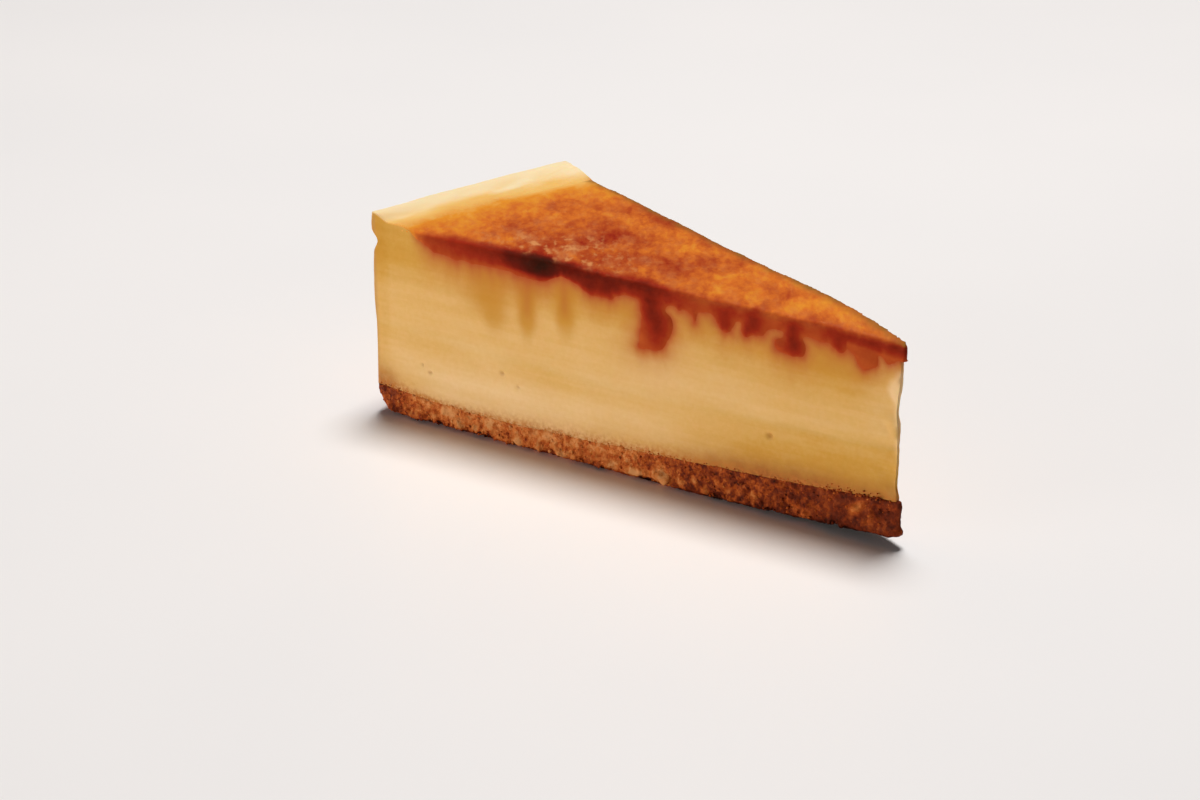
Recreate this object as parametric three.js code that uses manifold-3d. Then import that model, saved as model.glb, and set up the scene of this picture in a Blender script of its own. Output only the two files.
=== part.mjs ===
// A slice of creme brulee cheesecake, cut from a ten-inch round cake and standing on its crust.
// Millimetres, +Z up. The origin is at the table, under the middle of the slice.
// The point of the wedge is at +X and the outer wall at -X. The cut with the long drip faces -Y.
// A place on the slice is given by r, its distance from the point of the wedge, and by its angle
// from the middle line, negative towards -Y.

import * as THREE from "three";
import { mergeVertices } from "three/addons/utils/BufferGeometryUtils.js";
import { ImprovedNoise } from "three/addons/math/ImprovedNoise.js";
import Module from "manifold-3d";

// Driving dimensions of the cake and of this slice
const CAKE_RADIUS = 128;
const SLICES_IN_CAKE = 14;
const POINT_BLUNT = 1.6;
const GAP = 0.3;

// Top: level along the near cut, and rising at the far cut from the wall towards the point.
// Near the point the two cuts meet, so the twist fades there and the top sinks a little
const TOP_LEVEL = 43.2;
const TOP_TWIST = 1.8;
const TOP_TWIST_PIVOT = 65;
const TOP_TWIST_RUN = 90;
const TOP_POINT_REACH = 20;
const TOP_POINT_SINK = 0.4;

// Heights of the crust's top and of the join between the two fillings: [distance from the point, z]
const CRUST_TOP = [[0, 10], [45, 7.3], [95, 5.2], [127, 6.8]];
const FILLING_JOIN = [[0, 21.4], [35, 20.1], [80, 19.3], [127, 21.2]];

// Raised rim: low in the middle of the arc, high at both cuts, with a flat shoulder inside its crest
// that widens towards the far cut
const RIM_LOWEST = 1.2;
const RIM_LOW_ANGLE = THREE.MathUtils.degToRad(1.5);
const RIM_RISE_RATE = 22;
const RIM_CREST_ROUND = 0.4;
const RIM_CREST_WIDTH = 4.5;
const RIM_SHOULDER_WIDTH = 6.5;
const RIM_FOOT_WIDTH = 12;
const RIM_SHOULDER_WIDENING = 3;
const RIM_SHOULDER_SHARE = 0.4;

// Outer wall: how far it stands out at each height, from the join up to the rolled lip: [z, out].
// The wall's form fades out quickly towards the point
const WALL_PROFILE = [[0, -0.2], [20, -0.5], [27, -0.1], [37, -0.4], [39.7, -1.4], [42, 0], [47, -0.3]];
const WALL_FORM_FADE = 8;

// Caramel sheet, and the band of it that shows at the cuts
const CARAMEL_DEPTH = 3.7;
const CARAMEL_SKIN = 0.5;
const CARAMEL_DIP = 0.2;
const CARAMEL_FADE = 9.5;
const CARAMEL_FROM_RIM = 9.5;
const CARAMEL_SLANT = 2;
const CARAMEL_PROUD = 0.55;
const CARAMEL_PROUD_FADE = 10;
const CARAMEL_BLUNT = 0.8;
const BAND_BULGES = [
  { r: 71.5, extra: 1.9, half: 4.5 },
  { r: 78.3, extra: -1.1, half: 3 },
  { r: 87, extra: 1.5, half: 4.5 },
  { r: 100, extra: 0.8, half: 9 },
];

// Drips down the cuts: where each hangs, its width, its lowest point and how much wider its foot is
const NEAR_DRIPS = [
  { r: 57.7, width: 6.2, low: 29.5, foot: 1.25, lean: 0 },
  { r: 48, width: 2.4, low: 36.6, foot: 0.8, lean: 0 },
  { r: 40.8, width: 5, low: 37, foot: 0.8, lean: 0.2 },
  { r: 33.6, width: 6.4, low: 37.6, foot: 0.9, lean: -0.3 },
  { r: 25.3, width: 4.2, low: 35.3, foot: 1.8, lean: -0.4 },
  { r: 15.5, width: 3.8, low: 38, foot: 0.8, lean: 0 },
  { r: 9.1, width: 5.4, low: 36.2, foot: 0.9, lean: 0 },
  { r: 4.3, width: 2.8, low: 38.4, foot: 0.9, lean: 0 },
];
const FAR_DRIPS = [
  { r: 102, width: 4, low: 37.1, foot: 1, lean: 0.3 },
  { r: 89, width: 5, low: 33.4, foot: 1.4, lean: -0.4 },
  { r: 74, width: 3.4, low: 36.7, foot: 1, lean: 0 },
  { r: 52, width: 5.6, low: 35.2, foot: 1.2, lean: 0.5 },
  { r: 38, width: 3.2, low: 31.6, foot: 1.6, lean: -0.2 },
  { r: 21, width: 4.8, low: 37.3, foot: 0.9, lean: 0.3 },
];
const DRIP_START = TOP_LEVEL - 0.9;
const DRIP_THICKNESS = 0.9;
const DRIP_THIN_SHARE = 0.3;
const DRIP_BEVEL = 0.3;
const DRIP_FLARE = 1.4;
const DRIP_WAIST = 0.75;
const DRIP_WAIST_SHARE = 0.45;
const DRIP_LEAN_LENGTH = 2;
const DRIP_FOOT_HEIGHT = 0.8;
const DRIP_FOOT_ROUND = 0.9;

// Air bubbles cut open in the lower filling: [r, z, radius], longer than they are high
const PORES = [[113.5, 12, 0.8], [115.6, 13.6, 0.6], [94.7, 16, 0.9], [90.6, 13.8, 0.7], [30.1, 16.6, 1.1]];
const PORE_LENGTH = 1.2;
const PORE_HEIGHT = 0.8;

// Crust: its plan, the heights of its rings of points as shares, and the relief of its sides
const CRUST_POINT_RADIUS = 0.5;
const CRUST_POINT_SPREAD = 0.7;
const CRUST_SPREAD_REACH = 26;
const CRUST_POINT_STEPS = 3;
const CRUST_CUT_STEPS = 82;
const CRUST_WALL_STEPS = 18;
const CRUST_RINGS = [0, 0.12, 0.28, 0.45, 0.62, 0.8, 1];
const CRUMB_RELIEF = 0.6;
const CRUMB_SIZE = 2.3;
const CLOD_RELIEF = 0.42;
const CLOD_LENGTH = 8;
const CLOD_HEIGHT = 5;

// Round lower corner at the wall, a lower edge that is drawn in, and an underside that lifts at the point
const CRUST_CORNER = 7;
const CRUST_CORNER_REACH = 20;
const SOLE_TUCK = 1.3;
const SOLE_LIFT = 1.9;
const SOLE_LIFT_REACH = 40;
const SOLE_LIFT_CURVE = 1.3;
const TOE_TUCK = 1.6;
const TOE_TUCK_REACH = 12;
const TOE_TUCK_SHARE = 0.3;

// Low waves that keep the layers from being ruled: height, length, and a seed for each
const CRUST_WAVE = { height: 0.35, length: 17, seed: 3.1 };
const JOIN_WAVE = { height: 0.3, length: 21, seed: 7.7 };
const BAND_WAVE = { height: 0.3, length: 10, seed: 1.3 };
const BLISTER_WAVE = { height: 0.22, length: 5.5, seed: 5.5 };

// Grids of the blocks: rows from the point to the wall, columns across, and levels from below to above
const CHEESECAKE_GRID = [32, 8, 2];
const CUSTARD_GRID = [40, 12];
const CUSTARD_HEIGHTS = [0, 0.38, 0.66, 0.75, 0.82, 0.9, 1];
const CUSTARD_ROW_CROWDING = 1.5;
const SHEET_GRID = [46, 10, 2];

const HALF_ANGLE = Math.PI / SLICES_IN_CAKE;
// The point reaches a little past half the radius, to balance its blunt end against the wall's lip
const POINT_X = CAKE_RADIUS / 2 + 0.6;

const { smoothstep, lerp, clamp } = THREE.MathUtils;
const noise = new ImprovedNoise();
const wasm = await Module();
wasm.setup();

// Smooth height through a few [distance, height] points
function through(points, at) {
  const last = points.length - 1;
  let k = 0;
  while (k < last - 1 && at > points[k + 1][0]) {
    k += 1;
  }
  const [x0, y0] = points[k];
  const [x1, y1] = points[k + 1];
  const before = points[Math.max(k - 1, 0)];
  const after = points[Math.min(k + 2, last)];
  const run = x1 - x0;
  const slope0 = ((y1 - before[1]) / (x1 - before[0])) * run;
  const slope1 = ((after[1] - y0) / (after[0] - x0)) * run;
  const t = clamp((at - x0) / run, 0, 1);
  const t2 = t * t;
  const t3 = t2 * t;
  const ends = y0 * (2 * t3 - 3 * t2 + 1) + y1 * (3 * t2 - 2 * t3);
  return ends + slope0 * (t3 - 2 * t2 + t) + slope1 * (t3 - t2);
}

function wave({ height, length, seed }, r, angle) {
  return height * noise.noise(r / length, (angle * CAKE_RADIUS) / length, seed);
}

// Level along the middle line, the same from cut to cut
function crustTop(ahead) {
  return through(CRUST_TOP, ahead) + wave(CRUST_WAVE, ahead, 0);
}

function soleLift(ahead) {
  return SOLE_LIFT * (1 - clamp(ahead / SOLE_LIFT_REACH, 0, 1)) ** SOLE_LIFT_CURVE;
}

function fillingJoin(r, angle) {
  return through(FILLING_JOIN, r) + wave(JOIN_WAVE, r, angle);
}

// 0 at the near cut and 1 at the far cut
function acrossShare(angle) {
  return (angle + HALF_ANGLE) / (2 * HALF_ANGLE);
}

function flatTop(r, angle) {
  const twist = (acrossShare(angle) * TOP_TWIST * (TOP_TWIST_PIVOT - r)) / TOP_TWIST_RUN;
  return TOP_LEVEL + lerp(-TOP_POINT_SINK, twist, smoothstep(r, 0, TOP_POINT_REACH));
}

function rimRise(r, angle) {
  const crest = RIM_LOWEST + RIM_RISE_RATE * (angle - RIM_LOW_ANGLE) ** 2;
  const inside = CAKE_RADIUS - r;
  const widening = RIM_SHOULDER_WIDENING * acrossShare(angle);
  const shoulder = 1 - smoothstep(inside - widening, RIM_SHOULDER_WIDTH, RIM_FOOT_WIDTH);
  const top = 1 - smoothstep(inside, RIM_CREST_ROUND, RIM_CREST_WIDTH);
  return crest * lerp(top, shoulder, RIM_SHOULDER_SHARE);
}

function custardSurface(r, angle) {
  return flatTop(r, angle) + rimRise(r, angle);
}

// Where the caramel ends short of the rim, a little further in at the far cut
function caramelEdge(angle) {
  return CAKE_RADIUS - CARAMEL_FROM_RIM - (CARAMEL_SLANT * angle) / HALF_ANGLE;
}

function caramelBottom(r, angle) {
  const nearShare = smoothstep(-angle, 0, HALF_ANGLE);
  const bulge = BAND_BULGES.reduce(
    (sum, b) => sum + b.extra * Math.exp(-(((r - b.r) / b.half) ** 2)),
    0,
  );
  const depth = CARAMEL_DEPTH - CARAMEL_SKIN + nearShare * bulge + wave(BAND_WAVE, r, angle);
  return custardSurface(r, angle) - depth * smoothstep(caramelEdge(angle) - r, 0, CARAMEL_FADE);
}

function caramelTop(r, angle) {
  return custardSurface(r, angle) + CARAMEL_SKIN - CARAMEL_DIP + wave(BLISTER_WAVE, r, angle);
}

// A point at r and angle, moved out square to the cut or the wall that it lies on
function spot(r, angle, z, offCut, offWall) {
  const side = Math.sign(angle);
  const reach = r + offWall;
  const x = POINT_X - reach * Math.cos(angle) + offCut * Math.sin(HALF_ANGLE);
  const y = reach * Math.sin(angle) + side * offCut * Math.cos(HALF_ANGLE);
  return [x, y, z];
}

// A block with a grid on all six sides, bent into the wedge.
// The shape gets three shares: from the point to the wall, across the cuts, and from below to above.
function wedgeBlock([rows, columns, levels], shape) {
  const box = new THREE.BoxGeometry(1, 1, 1, rows, columns, levels);
  box.deleteAttribute("normal");
  box.deleteAttribute("uv");
  const merged = mergeVertices(box);
  const position = merged.attributes.position;
  for (let i = 0; i < position.count; i += 1) {
    const outward = 0.5 - position.getX(i);
    const across = position.getY(i) + 0.5;
    const upward = position.getZ(i) + 0.5;
    position.setXYZ(i, ...shape(outward, across, upward));
  }
  return merged;
}

function toSolid(geometry) {
  const bare = geometry.clone();
  bare.deleteAttribute("normal");
  bare.deleteAttribute("uv");
  const merged = mergeVertices(bare, 1e-4);
  return new wasm.Manifold(
    new wasm.Mesh({
      numProp: 3,
      vertProperties: new Float32Array(merged.attributes.position.array),
      triVerts: new Uint32Array(merged.index.array),
    }),
  );
}

function toGeometry(solid) {
  const mesh = solid.getMesh();
  const geometry = new THREE.BufferGeometry();
  geometry.setAttribute("position", new THREE.BufferAttribute(new Float32Array(mesh.vertProperties), 3));
  geometry.setIndex(new THREE.BufferAttribute(new Uint32Array(mesh.triVerts), 1));
  return geometry;
}

// Plan of the crust, from its rounded point down the near cut and round the wall, then mirrored back.
// Point k and the point as far from the end of the list are one another's mirror images.
function crustPlan() {
  const turn = Math.PI / 2 - HALF_ANGLE;
  const centre = CRUST_POINT_RADIUS / Math.sin(HALF_ANGLE);
  const cutStart = CRUST_POINT_RADIUS / Math.tan(HALF_ANGLE);
  const half = [];
  for (let i = 0; i < CRUST_POINT_STEPS; i += 1) {
    const around = (turn * i) / CRUST_POINT_STEPS;
    const ahead = centre - CRUST_POINT_RADIUS * Math.cos(around);
    half.push(new THREE.Vector2(POINT_X - ahead, -CRUST_POINT_RADIUS * Math.sin(around)));
  }
  for (let i = 0; i < CRUST_CUT_STEPS; i += 1) {
    const r = lerp(cutStart, CAKE_RADIUS, i / CRUST_CUT_STEPS);
    half.push(new THREE.Vector2(POINT_X - r * Math.cos(HALF_ANGLE), -r * Math.sin(HALF_ANGLE)));
  }
  for (let i = 0; i <= CRUST_WALL_STEPS; i += 1) {
    const angle = HALF_ANGLE * (1 - i / CRUST_WALL_STEPS);
    half.push(new THREE.Vector2(POINT_X - CAKE_RADIUS * Math.cos(angle), -CAKE_RADIUS * Math.sin(angle)));
  }
  const mirrored = half.slice(1, -1).reverse();
  return [...half, ...mirrored.map((p) => new THREE.Vector2(p.x, -p.y))];
}

function outwardNormals(plan) {
  return plan.map((_, i) => {
    const before = plan[(i + plan.length - 1) % plan.length];
    const after = plan[(i + 1) % plan.length];
    const along = after.clone().sub(before).normalize();
    return new THREE.Vector2(-along.y, along.x);
  });
}

// Crumbly relief of the crust's sides: grains on top of larger clods
function crumbRelief(x, y, z) {
  const grain = noise.noise(x / CRUMB_SIZE, y / CRUMB_SIZE, z / CRUMB_SIZE);
  const clod = noise.noise(x / CLOD_LENGTH, y / CLOD_LENGTH, z / CLOD_HEIGHT);
  return CRUMB_RELIEF * grain + CLOD_RELIEF * clod;
}

// The crust's outer bottom corner is round, as the tin's was
function cornerTuck(r, z) {
  const drop = clamp((CRUST_CORNER - z) / CRUST_CORNER, 0, 1);
  const tuck = CRUST_CORNER * (1 - Math.sqrt(1 - drop * drop));
  return tuck * smoothstep(r, CAKE_RADIUS - CRUST_CORNER_REACH, CAKE_RADIUS);
}

function crustPoint(point, normal, share) {
  const fromPoint = new THREE.Vector2(point.x - POINT_X, point.y);
  const r = fromPoint.length();
  const z = lerp(soleLift(-fromPoint.x), crustTop(-fromPoint.x), share);
  const inner = 1 - cornerTuck(r, z) / r;
  const spread = CRUST_POINT_SPREAD * (1 - smoothstep(r, 0, CRUST_SPREAD_REACH));
  const out = crumbRelief(point.x, point.y, z) + spread - (share === 0 ? SOLE_TUCK : 0);
  const toe = TOE_TUCK * Math.max(0, 1 - share / TOE_TUCK_SHARE) * (1 - smoothstep(r, 0, TOE_TUCK_REACH));
  return [POINT_X + fromPoint.x * inner + normal.x * out - toe, point.y * inner + normal.y * out, z];
}

// Rings of points round the plan, closed below and above by strips from each point to its mirror image
function crumbBase() {
  const plan = crustPlan();
  const normals = outwardNormals(plan);
  const count = plan.length;
  const vertices = CRUST_RINGS.flatMap((share) => plan.flatMap((p, i) => crustPoint(p, normals[i], share)));
  const indices = [];
  for (let ring = 0; ring < CRUST_RINGS.length - 1; ring += 1) {
    for (let i = 0; i < count; i += 1) {
      const a = ring * count + i;
      const b = ring * count + ((i + 1) % count);
      indices.push(a, b + count, b, a, a + count, b + count);
    }
  }
  const lid = (CRUST_RINGS.length - 1) * count;
  for (let k = 0; k < count / 2; k += 1) {
    const mirror = (count - k) % count;
    const next = k + 1;
    const nextMirror = count - next;
    if (k > 0) {
      indices.push(k, next, mirror);
      indices.push(lid + k, lid + mirror, lid + next);
    }
    if (next !== nextMirror) {
      indices.push(mirror, next, nextMirror);
      indices.push(lid + mirror, lid + nextMirror, lid + next);
    }
  }
  const geometry = new THREE.BufferGeometry();
  geometry.setAttribute("position", new THREE.Float32BufferAttribute(vertices, 3));
  geometry.setIndex(indices);
  return geometry;
}

// The lower filling, between the crust and the join, with its few open bubbles
function cheesecakeLayer() {
  const block = wedgeBlock(CHEESECAKE_GRID, (outward, across, upward) => {
    const r = lerp(POINT_BLUNT, CAKE_RADIUS, outward);
    const angle = lerp(-HALF_ANGLE, HALF_ANGLE, across);
    const low = crustTop(r * Math.cos(angle)) + GAP;
    const high = fillingJoin(r, angle) - GAP / 2;
    const z = lerp(low, high, upward);
    return spot(r, angle, z, 0, outward ** WALL_FORM_FADE * through(WALL_PROFILE, z));
  });
  const bubbles = PORES.map(([r, z, radius]) => {
    const ball = new THREE.SphereGeometry(radius, 8, 6);
    ball.scale(PORE_LENGTH, PORE_HEIGHT, PORE_HEIGHT);
    ball.translate(...spot(r, -HALF_ANGLE, z, 0, 0));
    return toSolid(ball);
  });
  return toGeometry(bubbles.reduce((solid, bubble) => solid.subtract(bubble), toSolid(block)));
}

// The upper filling: it carries the caramel and rises to the pale rim at the wall
function custardLayer() {
  const levels = CUSTARD_HEIGHTS.length - 1;
  return wedgeBlock([...CUSTARD_GRID, levels], (outward, across, upward) => {
    const r = CAKE_RADIUS - (CAKE_RADIUS - POINT_BLUNT) * (1 - outward) ** CUSTARD_ROW_CROWDING;
    const angle = lerp(-HALF_ANGLE, HALF_ANGLE, across);
    const low = fillingJoin(r, angle) + GAP / 2;
    const bare = smoothstep(r, caramelEdge(angle) + 0.5, caramelEdge(angle) + 2);
    const high = lerp(caramelBottom(r, angle) - GAP, custardSurface(r, angle), bare);
    const z = lerp(low, high, CUSTARD_HEIGHTS[Math.round(upward * levels)]);
    return spot(r, angle, z, 0, outward ** WALL_FORM_FADE * through(WALL_PROFILE, z));
  });
}

// A hanging drip, flat against a cut: thin where it leaves the caramel band, thickest at its round foot
function drip(side, { r, width, low, foot, lean }) {
  const half = width / 2 - DRIP_BEVEL;
  const footHalf = half * foot;
  const footTop = low + footHalf * DRIP_FOOT_HEIGHT;
  const footRound = footHalf * DRIP_FOOT_ROUND;
  const middle = lean * DRIP_LEAN_LENGTH;
  const waist = lerp(DRIP_START, low, DRIP_WAIST_SHARE);
  const outline = new THREE.Shape();
  outline.moveTo(-half * DRIP_FLARE, DRIP_START);
  outline.quadraticCurveTo(-half * DRIP_WAIST, waist, middle - footHalf, footTop);
  outline.quadraticCurveTo(middle - footRound, low, middle, low);
  outline.quadraticCurveTo(middle + footRound, low, middle + footHalf, footTop);
  outline.quadraticCurveTo(half * DRIP_WAIST, waist, half * DRIP_FLARE, DRIP_START);
  const body = new THREE.ExtrudeGeometry(outline, {
    depth: DRIP_THICKNESS - 2 * DRIP_BEVEL,
    curveSegments: 3,
    bevelThickness: DRIP_BEVEL,
    bevelSize: DRIP_BEVEL,
    bevelSegments: 1,
  });
  body.translate(0, 0, DRIP_BEVEL);
  const position = body.attributes.position;
  for (let i = 0; i < position.count; i += 1) {
    const downward = (DRIP_START - position.getY(i)) / (DRIP_START - low);
    const thickness = lerp(DRIP_THIN_SHARE, 1, smoothstep(downward, 0, DRIP_FOOT_HEIGHT));
    position.setZ(i, GAP + position.getZ(i) * thickness);
  }
  const out = new THREE.Vector3(Math.sin(HALF_ANGLE), side * Math.cos(HALF_ANGLE), 0);
  const up = new THREE.Vector3(0, 0, 1);
  const along = new THREE.Vector3().crossVectors(up, out);
  const base = new THREE.Vector3(...spot(r, side * HALF_ANGLE, 0, 0, 0));
  body.applyMatrix4(new THREE.Matrix4().makeBasis(along, up, out).setPosition(base));
  return toSolid(body);
}

// The caramel sheet, a little proud of the cuts, with its drips fused to it
function caramelTopping() {
  const sheet = wedgeBlock(SHEET_GRID, (outward, across, upward) => {
    const angle = lerp(-HALF_ANGLE, HALF_ANGLE, across);
    const r = lerp(CARAMEL_BLUNT, caramelEdge(angle), outward);
    const z = lerp(caramelBottom(r, angle), caramelTop(r, angle), upward);
    const atCut = across === 0 || across === 1;
    const proud = CARAMEL_PROUD * smoothstep(caramelEdge(angle) - r, 0, CARAMEL_PROUD_FADE);
    return spot(r, angle, z, atCut ? proud : 0, 0);
  });
  const drips = [...NEAR_DRIPS.map((d) => drip(-1, d)), ...FAR_DRIPS.map((d) => drip(1, d))];
  return toGeometry(drips.reduce((solid, one) => solid.add(one), toSolid(sheet)));
}

const MATERIALS = {
  crumb: new THREE.MeshStandardMaterial({ color: 0x94511f, roughness: 0.85, metalness: 0 }),
  cheesecake: new THREE.MeshStandardMaterial({ color: 0xdcaa68, roughness: 0.55, metalness: 0 }),
  custard: new THREE.MeshStandardMaterial({ color: 0xd8a04c, roughness: 0.45, metalness: 0 }),
  caramel: new THREE.MeshStandardMaterial({ color: 0xa8431a, roughness: 0.25, metalness: 0 }),
};

function piece(name, geometry, material) {
  geometry.computeVertexNormals();
  const mesh = new THREE.Mesh(geometry, material);
  mesh.name = name;
  return mesh;
}

const slice = new THREE.Group();
slice.name = "creme_brulee_cheesecake_slice";
slice.add(piece("crumb_base", crumbBase(), MATERIALS.crumb));
slice.add(piece("cheesecake_layer", cheesecakeLayer(), MATERIALS.cheesecake));
slice.add(piece("custard_layer", custardLayer(), MATERIALS.custard));
slice.add(piece("caramel_top", caramelTopping(), MATERIALS.caramel));

export default slice;
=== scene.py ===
"""Looks of a slice of creme brulee cheesecake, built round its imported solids.

Sizes in this script are millimetres unless a name says otherwise, and MM turns them into metres.
A place on the slice is given by r, its distance from the point of the wedge, and by its angle from
the middle line, or by how far it lies along a cut and inward from it. Side -1 is the near cut,
with the long drip, and side 1 is the far cut. The last number given to noise, rough and grains is
a seed, so that each has a pattern of its own.
"""

import math

import bpy
import numpy as np
from mathutils import Matrix, Vector


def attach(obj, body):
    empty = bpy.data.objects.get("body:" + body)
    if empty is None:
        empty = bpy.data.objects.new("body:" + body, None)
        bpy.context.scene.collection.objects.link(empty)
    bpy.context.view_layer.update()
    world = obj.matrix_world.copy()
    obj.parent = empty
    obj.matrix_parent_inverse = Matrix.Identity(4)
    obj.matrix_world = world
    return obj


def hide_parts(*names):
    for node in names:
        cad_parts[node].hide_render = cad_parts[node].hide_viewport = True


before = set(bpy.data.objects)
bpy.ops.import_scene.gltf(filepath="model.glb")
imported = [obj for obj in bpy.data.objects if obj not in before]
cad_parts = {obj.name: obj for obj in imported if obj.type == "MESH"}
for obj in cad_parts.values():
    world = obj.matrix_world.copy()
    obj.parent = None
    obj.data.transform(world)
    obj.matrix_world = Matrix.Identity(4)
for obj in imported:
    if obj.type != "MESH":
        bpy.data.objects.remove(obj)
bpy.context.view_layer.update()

MM = 0.001

# Slice, as its solids have it
RADIUS = 128.0
HALF_ANGLE = math.pi / 14
HALF_COS = math.cos(HALF_ANGLE)
HALF_SIN = math.sin(HALF_ANGLE)
POINT_X = RADIUS / 2 + 0.6
POINT_BLUNT = 1.6
POINT_HOLLOW = 0.75
TOP_LEVEL = 43.2
TOP_TWIST = 1.8
TOP_TWIST_PIVOT = 65
TOP_TWIST_RUN = 90
TOP_POINT_REACH = 20
TOP_POINT_SINK = 0.4
CRUST_TOP = [(0, 10), (45, 7.3), (95, 5.2), (127, 6.8)]
FILLING_JOIN = [(0, 20.6), (35, 20.0), (80, 19.3), (127, 21.2)]
WALL_PROFILE = [(0, -0.2), (20, -0.5), (27, -0.1), (37, -0.4), (39.7, -1.4), (42, 0), (47, -0.3)]
WALL_FORM_FADE = 8

# Cells of each mesh: outward from the point, across, and upward
CHEESECAKE_GRID = (300, 24, 40)
CUSTARD_GRID = (320, 60, 60)
SHEET_GRID = (240, 80, 6)
CRUST_GRID = (300, 60, 30)

# Raised rim
RIM_LOWEST = 1.2
RIM_LOW_ANGLE = math.radians(1.5)
RIM_RISE_RATE = 22
RIM_CREST_ROUND = 0.4
RIM_CREST_WIDTH = 4.5
RIM_SHOULDER_WIDTH = 6.5
RIM_FOOT_WIDTH = 12
RIM_SHOULDER_WIDENING = 3
RIM_SHOULDER_SHARE = 0.4
FAR_SHOULDER = 1.1

# Caramel: the sheet on the top, its edge short of the rim, and its band at the cuts
SHEET_START = 0.9
SHEET_PAST_EDGE = 0.5
SHEET_THINNEST = 1.2
SHEET_RISE = 0.35
SHEET_EDGE_ROUND = 0.8
SHEET_EDGE_DROP = 0.35
SHEET_FAR_LIFT = [(0, 0.4), (6, 0.5), (20, 0.25), (34, 0.5), (46, 0.2), (60, 0.05), (80, 0.2), (112, 0.4)]
BAND_DEPTH = 3.2
BAND_BULGES = [(71.5, 1.9, 4.5), (78.3, -1.1, 3), (87, 1.5, 4.5), (100, 0.8, 9)]
CARAMEL_FROM_RIM = 9.5
CARAMEL_SLANT = 2
CARAMEL_FADE = 9.5
CARAMEL_VOXEL = 0.31
CARAMEL_SOFTENING = 4

# Skin of caramel on a cut: the grid that it is cut from, and how far it starts outside the caramel's edge
COAT_PITCH = 0.3
COAT_END = 117
COAT_DEPTH = 16.5
COAT_MARGIN = 0.5
COAT_THICKNESS = 0.9
COAT_SWELL = 0.25

# Drips down each cut, as chains of round spots: along the cut, level, radius
DRIPS = {
    -1: [
        [(107, 40.4, 1.3), (106.9, 39.8, 0.9)], [(67.9, 40.2, 1.2), (67.7, 39.2, 0.8)],
        [(57.9, 41, 3.3), (57.8, 38, 3.0), (56.8, 35.3, 4.0), (57.4, 32.9, 3.3)],
        [(58.8, 32.4, 1.9), (60.1, 30.2, 1.0)], [(51.3, 40.6, 1.2), (51.2, 39.6, 0.6)],
        [(48.1, 40.5, 1.1), (48.0, 37.7, 0.3)], [(40.9, 41, 2.8), (40.8, 39.9, 2.4)],
        [(40.4, 38.8, 1.6), (40.2, 37.4, 0.8)], [(33.6, 41, 3.3), (33.8, 40.4, 2.8)],
        [(35.3, 39.2, 1.7), (36.1, 37.8, 0.9)], [(25.6, 41, 2.4), (25.3, 38.5, 1.9), (24.6, 37.2, 2.0)],
        [(25.5, 37.1, 1.7), (28.3, 36.9, 1.4)], [(18.8, 41, 1.6), (18.6, 40.6, 1.2)],
        [(15.4, 40.8, 2.1), (15.3, 39.7, 1.6)], [(10.4, 40.4, 2.6), (9.0, 38.2, 2.2)],
        [(4.3, 40.4, 1.9), (4.3, 39.7, 1.4)],
    ],
    1: [
        [(102.4, 40.5, 2.3), (101.6, 38.5, 1.4)],
        [(89.4, 41, 2.5), (88.9, 37.5, 1.8), (88.2, 35.6, 2.4)], [(88.4, 36.4, 1.8), (85.9, 35.4, 1.1)],
        [(74.2, 41, 1.8), (74.0, 38.0, 1.3)], [(52.0, 41, 2.9), (52.9, 38.6, 2.5), (53.4, 37.3, 2.1)],
        [(38.0, 41, 1.8), (37.8, 35, 1.3), (37.5, 33.4, 1.8)], [(21.2, 41, 2.5), (21.7, 39.3, 1.9)],
    ],
}

# How softly the band and its drips run into each other
DRIP_MELT = 0.35

# Level below the sheet's top where a cut's dark band begins, by distance from the point
BAND_START = {
    -1: [
        (0, 0.7), (18, 0.9), (25, 0.6), (36, 0.5), (46, 0.8), (57, 0), (70, 0.15), (84, -0.5),
        (114, 0), (119, 1.2),
    ],
    1: [(0, 0.5), (40, 0.4), (70, 0.1), (100, 0.4), (116, 1.2)],
}

# How burnt the band is, by distance from the point
BAND_BURN = {
    -1: [
        (0, 0.7), (6, 0.72), (14, 0.74), (18, 0.7), (21.5, 0.6), (25, 0.77), (29.5, 0.58), (34, 0.79),
        (37.3, 0.68), (40.5, 0.77), (45.5, 0.6), (52, 0.73), (58, 0.82), (63, 0.79), (72, 0.84),
        (77, 0.86), (80, 0.9), (83.5, 0.95), (87, 0.94), (90.5, 0.87), (95, 0.82), (101, 0.77),
        (107, 0.71), (113, 0.64), (118, 0.56),
    ],
    1: [(0, 0.74), (30, 0.8), (48, 0.76), (66, 0.86), (80, 0.84), (96, 0.78), (116, 0.62)],
}
PALEST_BAND = 0.54

# Where the near cut's caramel is less burnt: along the cut, half length, from and to which level, how much
NEAR_CUT_PALER = [(88, 9, 40.8, 39.6, 0.16), (60.2, 2.2, 37, 35, 0.11)]

# Edges of the burn on the top: distance in from the rim at the middle line, slant and curve across the slice
ORANGE_EDGE = (9.8, 2.75, -0.85)
RED_EDGE = (22, 4.9, -1.7)

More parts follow.
